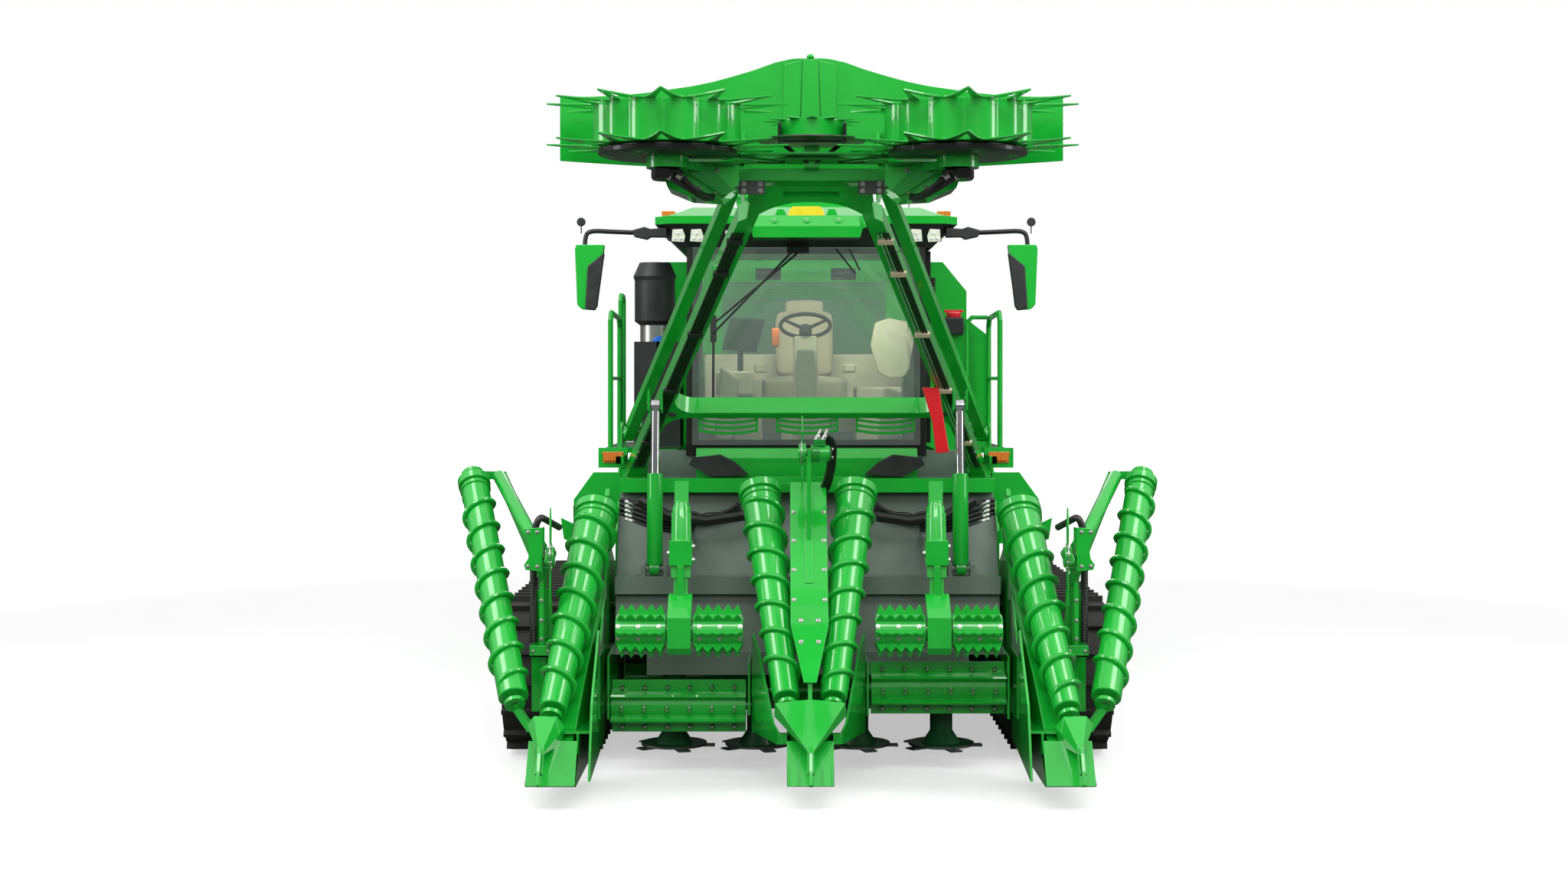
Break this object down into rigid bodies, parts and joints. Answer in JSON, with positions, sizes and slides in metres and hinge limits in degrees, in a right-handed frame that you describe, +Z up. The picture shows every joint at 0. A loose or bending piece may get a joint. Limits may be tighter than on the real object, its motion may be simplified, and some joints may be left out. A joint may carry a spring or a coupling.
{
  "type": "tracked two-row sugarcane harvester",
  "caption": "Tracked harvester with a raised cane topper, wound crop-divider scrolls, toothed feed rollers, a glazed cab and a slewing rear elevator.",
  "frame": {"origin": "on the ground under the middle of the whole machine's box", "axes": "-Y forwards, +X to the machine's left side, +Z up"},
  "size_m": [4.4094, 15.758, 5.0309],
  "materials": {
    "green_paint": "gloss enamel",
    "track_black": "worn",
    "frame_black": "satin",
    "cab_black": "satin",
    "cab_glass": "clear",
    "cab_beige": "moulded",
    "cast_grey": "painted",
    "black_plastic": "moulded",
    "hose_rubber": "smooth",
    "chrome_rod": "polished",
    "dark_steel": "satin"
  },
  "bodies": {
    "chassis": {"main_frame": "green_paint", "crop_housing": "green_paint", "track_left": "track_black", "track_right": "track_black", "track_frames": "frame_black", "decks": "green_paint", "cab_frame": "cab_black", "cab_roof": "green_paint", "cab_glass": "cab_glass", "cab_interior": "cab_beige", "engine_cover": "green_paint", "engine_block": "cast_grey", "side_tanks": "green_paint", "air_intake": "black_plastic", "mirrors": "black_plastic", "hydraulic_hoses": "hose_rubber", "lamps": "black_plastic", "railings": "frame_black"},
    "cab_door": {"door_frame": "cab_black", "door_glass": "cab_glass"},
    "topper_boom": {"topper_boom": "green_paint"},
    "topper_links": {"topper_links": "green_paint"},
    "topper_head": {"topper_head": "green_paint", "topper_deflector": "green_paint"},
    "gathering_drum_left": {"gathering_drum_left": "green_paint"},
    "gathering_drum_right": {"gathering_drum_right": "green_paint"},
    "topper_cutter": {"topper_cutter": "green_paint"},
    "lift_barrels": {"lift_barrels": "green_paint"},
    "lift_rods": {"lift_rods": "chrome_rod"},
    "divider_left": {"divider_left": "green_paint"},
    "divider_right": {"divider_right": "green_paint"},
    "divider_centre": {"divider_centre": "green_paint"},
    "scroll_left_outer": {"scroll_left_outer": "green_paint"},
    "scroll_left_inner": {"scroll_left_inner": "green_paint"},
    "scroll_centre_left": {"scroll_centre_left": "green_paint"},
    "scroll_centre_right": {"scroll_centre_right": "green_paint"},
    "scroll_right_inner": {"scroll_right_inner": "green_paint"},
    "scroll_right_outer": {"scroll_right_outer": "green_paint"},
    "knife_left": {"knife_left": "green_paint"},
    "knife_right": {"knife_right": "green_paint"},
    "knife_centre": {"knife_centre": "green_paint"},
    "knockdown_post_left": {"knockdown_post_left": "green_paint"},
    "knockdown_post_right": {"knockdown_post_right": "green_paint"},
    "knockdown_roller_left": {"knockdown_roller_left": "green_paint"},
    "knockdown_roller_right": {"knockdown_roller_right": "green_paint"},
    "finned_roller_left": {"finned_roller_left": "green_paint"},
    "finned_roller_right": {"finned_roller_right": "green_paint"},
    "butt_lifter": {"butt_lifter": "dark_steel"},
    "base_cutter_left_outer": {"base_cutter_left_outer": "dark_steel"},
    "base_cutter_left_inner": {"base_cutter_left_inner": "dark_steel"},
    "base_cutter_right_inner": {"base_cutter_right_inner": "dark_steel"},
    "base_cutter_right_outer": {"base_cutter_right_outer": "dark_steel"},
    "extractor_hood": {"extractor_hood": "green_paint"},
    "extractor_fan": {"extractor_fan": "dark_steel"},
    "elevator_turntable": {"elevator_turntable": "green_paint"},
    "bin_flap": {"bin_flap": "green_paint"},
    "secondary_hood": {"secondary_hood": "green_paint"},
    "secondary_fan": {"secondary_fan": "dark_steel"},
    "elevator": {"elevator_frame": "green_paint", "elevator_chain": "dark_steel"}
  },
  "joints": [
    {"name": "door_swing", "type": "hinge", "parent": "chassis", "child": "cab_door", "pos_m": [0.862, -3.944, 2.5], "axis": [0, 0, -1], "range_deg": [0, 38]},
    {"name": "boom_lift", "type": "hinge", "parent": "chassis", "child": "topper_boom", "pos_m": [0, -4.034, 1.75], "axis": [-1, 0, 0], "range_deg": [-18, 7]},
    {"name": "link_lift", "type": "hinge", "parent": "chassis", "child": "topper_links", "pos_m": [0, -3.784, 2.04], "axis": [-1, 0, 0], "range_deg": [-18, 7]},
    {"name": "head_level", "type": "hinge", "parent": "topper_boom", "child": "topper_head", "pos_m": [0, -6.534, 3.465], "axis": [-1, 0, 0], "range_deg": [-7, 18]},
    {"name": "drum_left_spin", "type": "hinge", "parent": "topper_head", "child": "gathering_drum_left", "pos_m": [0.75, -7.254, 3.7], "axis": [0, 0, 1], "continuous": true},
    {"name": "drum_right_spin", "type": "hinge", "parent": "topper_head", "child": "gathering_drum_right", "pos_m": [-0.75, -7.254, 3.7], "axis": [0, 0, 1], "continuous": true},
    {"name": "topper_cutter_spin", "type": "hinge", "parent": "topper_head", "child": "topper_cutter", "pos_m": [0, -6.884, 3.7], "axis": [0, 0, 1], "continuous": true},
    {"name": "barrel_swing", "type": "hinge", "parent": "chassis", "child": "lift_barrels", "pos_m": [0, -5.034, 1.233], "axis": [1, 0, 0], "range_deg": [-4, 8]},
    {"name": "rod_slide", "type": "slide", "parent": "lift_barrels", "child": "lift_rods", "axis": [0, 0.0886, 0.9961], "range_m": [-0.32, 0.14]},
    {"name": "divider_left_lift", "type": "hinge", "parent": "chassis", "child": "divider_left", "pos_m": [0, -4.184, 0.9], "axis": [-1, 0, 0], "range_deg": [-2.5, 10]},
    {"name": "divider_right_lift", "type": "hinge", "parent": "chassis", "child": "divider_right", "pos_m": [0, -4.184, 0.9], "axis": [-1, 0, 0], "range_deg": [-2.5, 10]},
    {"name": "divider_centre_lift", "type": "hinge", "parent": "chassis", "child": "divider_centre", "pos_m": [0, -5.144, 1], "axis": [-1, 0, 0], "range_deg": [-2.5, 8]},
    {"name": "scroll_right_outer_spin", "type": "hinge", "parent": "divider_right", "child": "scroll_right_outer", "pos_m": [-1.698, -6.084, 0.586], "axis": [-0.235, 0.6896, 0.685], "continuous": true},
    {"name": "scroll_right_inner_spin", "type": "hinge", "parent": "divider_right", "child": "scroll_right_inner", "pos_m": [-1.463, -6.184, 0.534], "axis": [0.1012, 0.7135, 0.6934], "continuous": true},
    {"name": "scroll_centre_right_spin", "type": "hinge", "parent": "divider_centre", "child": "scroll_centre_right", "pos_m": [-0.135, -6.184, 0.6], "axis": [-0.1065, 0.6778, 0.7275], "continuous": true},
    {"name": "scroll_left_outer_spin", "type": "hinge", "parent": "divider_left", "child": "scroll_left_outer", "pos_m": [1.698, -6.084, 0.586], "axis": [0.235, 0.6896, 0.685], "continuous": true},
    {"name": "scroll_left_inner_spin", "type": "hinge", "parent": "divider_left", "child": "scroll_left_inner", "pos_m": [1.463, -6.184, 0.534], "axis": [-0.1012, 0.7135, 0.6934], "continuous": true},
    {"name": "scroll_centre_left_spin", "type": "hinge", "parent": "divider_centre", "child": "scroll_centre_left", "pos_m": [0.135, -6.184, 0.6], "axis": [0.1065, 0.6778, 0.7275], "continuous": true},
    {"name": "knife_left_spin", "type": "hinge", "parent": "divider_left", "child": "knife_left", "pos_m": [1.526, -5.734, 1.362], "axis": [1, 0, 0], "continuous": true},
    {"name": "knife_right_spin", "type": "hinge", "parent": "divider_right", "child": "knife_right", "pos_m": [-1.526, -5.734, 1.362], "axis": [1, 0, 0], "continuous": true},
    {"name": "knife_centre_spin", "type": "hinge", "parent": "divider_centre", "child": "knife_centre", "pos_m": [-0.038, -5.504, 1.967], "axis": [1, 0, 0], "continuous": true},
    {"name": "knockdown_left_slide", "type": "slide", "parent": "chassis", "child": "knockdown_post_left", "axis": [0, 0.1708, 0.9853], "range_m": [-0.15, 0.05]},
    {"name": "knockdown_left_spin", "type": "hinge", "parent": "knockdown_post_left", "child": "knockdown_roller_left", "pos_m": [0.765, -5.694, 0.921], "axis": [1, 0, 0], "continuous": true},
    {"name": "knockdown_right_slide", "type": "slide", "parent": "chassis", "child": "knockdown_post_right", "axis": [0, 0.1708, 0.9853], "range_m": [-0.15, 0.05]},
    {"name": "knockdown_right_spin", "type": "hinge", "parent": "knockdown_post_right", "child": "knockdown_roller_right", "pos_m": [-0.765, -5.694, 0.921], "axis": [1, 0, 0], "continuous": true},
    {"name": "finned_left_spin", "type": "hinge", "parent": "chassis", "child": "finned_roller_left", "pos_m": [0.7875, -5.334, 0.534], "axis": [1, 0, 0], "continuous": true},
    {"name": "finned_right_spin", "type": "hinge", "parent": "chassis", "child": "finned_roller_right", "pos_m": [-0.7875, -5.334, 0.424], "axis": [1, 0, 0], "continuous": true},
    {"name": "butt_lifter_spin", "type": "hinge", "parent": "chassis", "child": "butt_lifter", "pos_m": [0, -4.504, 0.42], "axis": [1, 0, 0], "continuous": true},
    {"name": "base_cutter_left_outer_spin", "type": "hinge", "parent": "chassis", "child": "base_cutter_left_outer", "pos_m": [0.835, -4.994, 0.13], "axis": [0, 0, 1], "continuous": true},
    {"name": "base_cutter_left_inner_spin", "type": "hinge", "parent": "chassis", "child": "base_cutter_left_inner", "pos_m": [0.31, -4.994, 0.13], "axis": [0, 0, 1], "continuous": true},
    {"name": "base_cutter_right_inner_spin", "type": "hinge", "parent": "chassis", "child": "base_cutter_right_inner", "pos_m": [-0.31, -4.994, 0.13], "axis": [0, 0, 1], "continuous": true},
    {"name": "base_cutter_right_outer_spin", "type": "hinge", "parent": "chassis", "child": "base_cutter_right_outer", "pos_m": [-0.835, -4.994, 0.13], "axis": [0, 0, 1], "continuous": true},
    {"name": "extractor_hood_turn", "type": "hinge", "parent": "chassis", "child": "extractor_hood", "pos_m": [0, 1.376, 3.106], "axis": [0, 0, 1], "range_deg": [-90, 90]},
    {"name": "extractor_fan_spin", "type": "hinge", "parent": "chassis", "child": "extractor_fan", "pos_m": [0, 1.376, 2.7], "axis": [0, 0, 1], "continuous": true},
    {"name": "elevator_slew", "type": "hinge", "parent": "chassis", "child": "elevator_turntable", "pos_m": [0, 2.266, 1.11], "axis": [0, 0, 1], "range_deg": [-85, 85]},
    {"name": "elevator_lift", "type": "hinge", "parent": "elevator_turntable", "child": "elevator", "pos_m": [0, 2.746, 1.45], "axis": [1, 0, 0], "range_deg": [-18, 8]},
    {"name": "bin_flap_tilt", "type": "hinge", "parent": "elevator", "child": "bin_flap", "pos_m": [0, 7.46547, 4.42574], "axis": [1, 0, 0], "range_deg": [-20, 30]},
    {"name": "secondary_hood_turn", "type": "hinge", "parent": "elevator", "child": "secondary_hood", "pos_m": [0, 6.93987, 4.37242], "axis": [0, -0.515, 0.8572], "range_deg": [-90, 90]},
    {"name": "secondary_fan_spin", "type": "hinge", "parent": "elevator", "child": "secondary_fan", "pos_m": [0, 6.93987, 4.37242], "axis": [0, -0.515, 0.8572], "continuous": true}
  ],
  "couplings": [
    {"joint": "link_lift", "follows": "boom_lift", "ratio": 1},
    {"joint": "head_level", "follows": "boom_lift", "ratio": -1},
    {"joint": "barrel_swing", "follows": "boom_lift", "ratio": -0.3794},
    {"joint": "rod_slide", "follows": "boom_lift", "m_per_rad": 0.9703},
    {"joint": "base_cutter_left_inner_spin", "follows": "base_cutter_left_outer_spin", "ratio": -1},
    {"joint": "base_cutter_right_inner_spin", "follows": "base_cutter_right_outer_spin", "ratio": -1}
  ]
}
